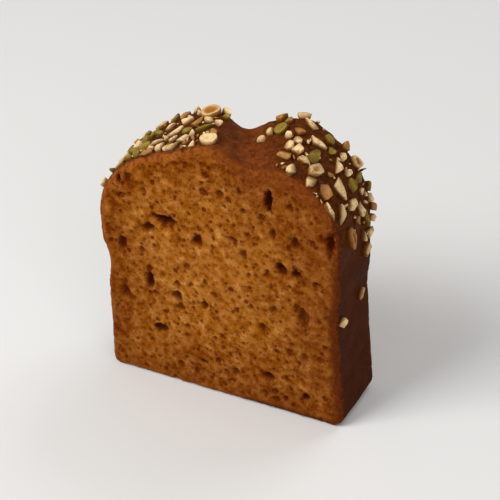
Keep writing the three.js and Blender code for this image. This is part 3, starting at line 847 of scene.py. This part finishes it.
def build_seeds(rows, draw, materials):
    """The seeds at the places and sizes of the given rows, the bits between them and the splinters."""
    look = Draw(SEED_OF_LOOKS)
    piles = {kind: [] for kind in materials}

    def keep(row, thickness, tilt, sunk, form):
        points, faces, numbers = seed_piece(row, thickness, tilt, sunk, look, form)
        choice = look()
        any_kind = "cream" if choice < CREAM_SHARE else "tan" if choice < CREAM_SHARE + TAN_SHARE else "green"
        lobe = LEFT_LOBE if crust_point(row[0], row[1])[0] < 0 else RIGHT_LOBE
        browned = form.get("browned", 0)
        tone = max(between(lobe["tone"], look()), browned)
        tint = between(lobe["tint"], look()) * (1 - BROWNED_TINT * browned)
        numbers["tone"] = np.full(len(points), tone)
        numbers["tint"] = np.full(len(points), tint)
        piles[row[5] or any_kind].append((points, faces, numbers))

    for row in rows:
        thickness = between(SEED_THICKNESS, draw())
        # two numbers that only the solid model uses
        draw()
        draw()
        tilt = (SEED_TILT * (2 * draw() - 1), SEED_TILT * (2 * draw() - 1))
        is_shard = look() < 0.5 and row[3] / row[2] < SLENDER
        form = FORMS[row[6] if len(row) > 6 else "shard" if is_shard else "chip"]
        keep(row, thickness * form.get("thicker", 1), tilt, SEED_SUNK, form)
    for row in bit_rows(look):
        tilt = (BIT_TILT * (2 * look() - 1), BIT_TILT * (2 * look() - 1))
        keep(row, BIT_THICKNESS, tilt, BIT_SUNK, FORMS["chip"])
    for *row, height in SPLINTERS:
        keep(row, height, (0, 0), SPLINTER_SUNK, FORMS["shard"])

    for kind, pile in piles.items():
        obj = build_pile(f"seeds_{kind}", pile, materials[kind])
        obj.data.set_sharp_from_angle(angle=SHARP_ANGLE)
        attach(obj, "root")


# ---- materials ----
NOISE_ROUGHNESS = 0.55
MIX_SHARE, MIX_FIRST, MIX_SECOND, MIX_RESULT = 0, 6, 7, 2  # a Mix node's sockets for colours


class Nodes:
    """Builds a material's nodes: each call makes one node or a few, with values or links for its inputs."""

    def __init__(self, name):
        self.material = bpy.data.materials.new(name)
        self.material.use_nodes = True
        self.tree = self.material.node_tree
        self.shader = self.tree.nodes["Principled BSDF"]
        self.place = self.add("ShaderNodeTexCoord").outputs["Object"]

    def add(self, kind, inputs=(), **settings):
        node = self.tree.nodes.new(kind)
        for key, value in settings.items():
            setattr(node, key, value)
        for key, value in dict(inputs).items():
            self.feed(node.inputs[key], value)
        return node

    def feed(self, socket, value):
        """Links an output to the socket, or sets its number or its colour."""
        if isinstance(value, bpy.types.NodeSocket):
            self.tree.links.new(value, socket)
        else:
            socket.default_value = (*value, 1) if isinstance(value, tuple) else value

    def noise(self, size_mm, detail=3):
        inputs = {"Vector": self.place, "Scale": 1 / (size_mm * MM), "Detail": detail}
        inputs["Roughness"] = NOISE_ROUGHNESS
        return self.add("ShaderNodeTexNoise", inputs).outputs["Fac"]

    def cells(self, size_mm):
        inputs = {"Vector": self.place, "Scale": 1 / (size_mm * MM)}
        return self.add("ShaderNodeTexVoronoi", inputs).outputs["Distance"]

    def number(self, label):
        """One of the mesh's shading numbers."""
        return self.add("ShaderNodeAttribute", attribute_name=label).outputs["Fac"]

    def remap(self, value, low, high, to_low=0.0, to_high=1.0):
        inputs = {"Value": value, "From Min": low, "From Max": high, "To Min": to_low, "To Max": to_high}
        return self.add("ShaderNodeMapRange", inputs, clamp=True).outputs["Result"]

    def patches(self, size_mm, *span, detail=3):
        return self.remap(self.noise(size_mm, detail), *span)

    def where(self, label, *span):
        return self.remap(self.number(label), *span)

    def math(self, operation, a, b):
        return self.add("ShaderNodeMath", {0: a, 1: b}, operation=operation).outputs[0]

    def times(self, a, b):
        return self.math("MULTIPLY", a, b)

    def mix(self, share, a, b, blend="MIX"):
        node = self.add("ShaderNodeMix", data_type="RGBA", blend_type=blend)
        for place, value in ((MIX_SHARE, share), (MIX_FIRST, a), (MIX_SECOND, b)):
            self.feed(node.inputs[place], value)
        return node.outputs[MIX_RESULT]

    def tinted(self, share, base, factors):
        """The base, with that share of it multiplied by the factors."""
        return self.mix(share, base, self.mix(1, base, factors, "MULTIPLY"))

    def ramp(self, value, stops):
        node = self.add("ShaderNodeValToRGB", {"Fac": value})
        points = node.color_ramp.elements
        while len(points) < len(stops):
            points.new(0.5)
        for point, (place, color) in zip(points, stops):
            point.position = place
            point.color = (*color, 1)
        return node.outputs["Color"]

    def bump(self, height, distance_mm, strength, under=None):
        inputs = {"Height": height, "Distance": distance_mm * MM, "Strength": strength}
        if under is not None:
            inputs["Normal"] = under
        return self.add("ShaderNodeBump", inputs).outputs["Normal"]

    def finish(self, **inputs):
        for key, value in inputs.items():
            self.feed(self.shader.inputs[key.replace("_", " ")], value)
        return self.material


def crumb_material():
    """Moist golden-brown crumb, browned toward the crust, with painted shade in its pores and holes, toward
    the crust and on its right, and painted light on its upper left.
    """
    n = Nodes("crumb")
    fine = n.noise(0.6)
    grain = n.math("ADD", n.number("lumps"), n.times(n.math("SUBTRACT", fine, 0.5), 0.8))
    base = n.ramp(grain, CRUMB_TONES)
    hue = n.noise(1.9, 2)
    base = n.tinted(n.remap(hue, 0.52, 0.68, 0, 0.4), base, CRUMB_ROSY)
    base = n.tinted(n.remap(hue, 0.48, 0.32, 0, 0.6), base, CRUMB_GOLDEN)
    base = n.tinted(n.times(n.patches(9, 0.4, 0.65), 0.5), base, CRUMB_PATCH)
    # browner toward the crust, with painted shade there and on the right, and painted light on the upper left
    base = n.tinted(n.where("inner", 0, 1, 1, 0), base, CRUMB_EDGE_BROWN_AND_SHADE)

    # painted shade in the mesh's own pores, and in pinholes too fine for it
    pinholes = n.times(n.remap(n.cells(1.25), 0.34, 0.12), n.patches(2.4, 0.4, 0.58, detail=2))
    pinholes = n.math("MAXIMUM", pinholes, n.remap(n.cells(3), 0.28, 0.12))
    pore_shade = n.math("MAXIMUM", n.where("pore_shade", 0.03, 0.66), n.times(pinholes, 0.6))
    base = n.mix(n.times(pore_shade, n.remap(fine, 0.35, 0.6, 1, 0.72)), base, PORE_SHADE_TONE)

    # the browned rim and the dark skin along the crust, with the painted shade of the holes over them
    baked = n.mix(n.number("baked"), RIM_LEFT, RIM_RIGHT)
    baked = n.mix(n.patches(1.4, 0.45, 0.6, 0, 0.8), baked, RIM_DARK)
    baked = n.mix(n.patches(1.7, 0.5, 0.36, 0, 0.5, detail=2), baked, RIM_LIGHT)
    rim = n.times(n.where("rim", 0, 0.6), n.patches(2.5, 0.3, 0.6, 0.55, 0.95))
    base = n.mix(n.times(rim, 0.9), base, baked)
    skin = n.times(n.where("edge", 0, 0.65), n.patches(1.2, 0.36, 0.6, 0.6, 1))
    base = n.mix(skin, base, SKIN_TONE)
    # painted shade in the holes, darkest in the deepest
    base = n.mix(n.where("hole", 0.03, 0.6, 0, 0.9), base, HOLE_SHADE_TONE)
    base = n.mix(n.where("hole", 0.5, 1, 0, 0.75), base, DEEP_HOLE_SHADE_TONE)

    height = n.bump(fine, 0.3, 0.2)
    height = n.bump(n.math("SUBTRACT", 1, pinholes), 0.4, 0.35, under=height)
    return n.finish(Base_Color=base, Roughness=0.85, Specular_IOR_Level=0.04, Normal=height)


def crust_material():
    """Dark brown crust, lighter in the cleft and where a cut passes through it."""
    n = Nodes("crust")
    wall = n.mix(n.patches(6, 0.35, 0.65), *WALL_TONES)
    top = n.mix(n.patches(2.5, 0.35, 0.65, detail=4), *TOP_TONES)
    base = n.mix(n.number("dome"), wall, top)
    bare = n.mix(n.patches(4, 0.36, 0.64, detail=4), *CLEFT_TONES)
    base = n.mix(n.where("cleft", 0.1, 0.7), base, bare)
    speckle = n.times(n.patches(0.9, 0.48, 0.66), n.where("dome", 0, 1, 0.08, 0.42))
    base = n.mix(speckle, base, CRUST_SPECKLE)
    base = n.mix(n.times(n.patches(1.3, 0.5, 0.34), 0.4), base, CRUST_PIT)
    ragged = n.patches(1.8, 0.35, 0.65, -0.55, 0.2)
    by_the_cut = n.remap(n.math("ADD", n.number("near_cut"), ragged), 0.1, 0.9, 0, 0.9)
    base = n.mix(by_the_cut, base, n.mix(n.number("baked"), *CRUST_BY_CUT))
    height = n.bump(n.noise(2.6, 4), 0.5, 0.12)
    height = n.bump(n.noise(0.6), 0.25, 0.15, under=height)
    rough = n.patches(3, 0.3, 0.7, 0.6, 0.75)
    return n.finish(Base_Color=base, Roughness=rough, Specular_IOR_Level=0.04, Normal=height)


def seed_material(kind, skin, deep, flesh, side, hollow):
    """Toasted seed, each of its own tone: skin, pale flesh where it is broken, painted shade low down toward
    the crust, and a hollow that is partly stained and partly painted shade.
    """
    n = Nodes(f"seed_{kind}")
    base = n.mix(n.math("POWER", n.number("tone"), 2.2), skin, deep)
    base = n.mix(n.patches(1.6, 0.47, 0.64, 0, 0.65, detail=4), base, deep)
    base = n.mix(n.where("tint", 0.6, 1, 0, 0.7), base, flesh)
    base = n.mix(n.times(n.number("broken"), 0.6), base, flesh)
    base = n.mix(n.patches(0.8, 0.52, 0.72, 0, 0.5), base, side)
    # the hollow's middle, partly stained and partly painted shade
    base = n.mix(n.where("inner", 0.15, 0.5, 0, 0.92), base, hollow)
    # painted shade low on the seed, where it meets the crust
    base = n.mix(n.where("high", 0.9, 0.1, 0, 0.95), base, side)
    height = n.bump(n.noise(0.7), 0.25, 0.5)
    return n.finish(Base_Color=base, Roughness=0.5, Specular_IOR_Level=0.2, Normal=height)


# ---- stage ----
def build_stage():
    bpy.ops.mesh.primitive_plane_add(size=FLOOR_SIZE)
    floor = bpy.context.object
    floor.name = "floor"
    floor.data.materials.append(Nodes("floor").finish(Base_Color=FLOOR_TONE, Roughness=0.9))
    world = bpy.data.worlds.new("studio")
    bpy.context.scene.world = world
    world.use_nodes = True
    background = world.node_tree.nodes["Background"]
    background.inputs["Color"].default_value = (*WORLD_TONE, 1)
    background.inputs["Strength"].default_value = WORLD_STRENGTH


def build_light(name, place, size, power):
    """A square light that faces the slice."""
    light = bpy.data.lights.new(name, "AREA")
    light.size = size
    light.energy = power
    obj = bpy.data.objects.new(name, light)
    obj.location = place
    obj.rotation_euler = (CAMERA_TARGET - Vector(place)).to_track_quat("-Z", "Y").to_euler()
    bpy.context.scene.collection.objects.link(obj)


def build_camera():
    a, e, r = AZIMUTH, ELEVATION, ROLL
    back = Vector((math.sin(a) * math.cos(e), -math.cos(a) * math.cos(e), math.sin(e)))
    level = Vector((math.cos(a), math.sin(a), 0))
    rise = back.cross(level)
    right = level * math.cos(r) + rise * math.sin(r)
    up = rise * math.cos(r) - level * math.sin(r)
    data = bpy.data.cameras.new("camera")
    data.sensor_width = SENSOR_WIDTH
    data.lens = FOCAL_PIXELS * SENSOR_WIDTH / PICTURE
    data.shift_x = 0.5 - TARGET_PIXEL[0] / PICTURE
    data.shift_y = TARGET_PIXEL[1] / PICTURE - 0.5
    camera = bpy.data.objects.new("camera", data)
    place = Matrix((right, up, back)).transposed().to_4x4()
    place.translation = CAMERA_TARGET + back * CAMERA_DISTANCE
    camera.matrix_world = place
    bpy.context.scene.collection.objects.link(camera)
    bpy.context.scene.camera = camera


draw = Draw(SEED_OF_DRAWS)
seeds = seed_rows(draw)
front_holes = scatter_holes(FRONT_SCATTERED, SHOWN_HOLES, draw)
back_holes = scatter_holes(BACK_SCATTERED, [], draw)
bread = build_slice(front_holes, back_holes, [crumb_material(), crust_material()])
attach(bread, "root")
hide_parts("bread_slice")
build_seeds(seeds, draw, {kind: seed_material(kind, **tones) for kind, tones in SEED_TONES.items()})
build_stage()
for name, settings in LIGHTS.items():
    build_light(name, **settings)
build_camera()
bpy.context.scene.view_settings.view_transform = "Standard"
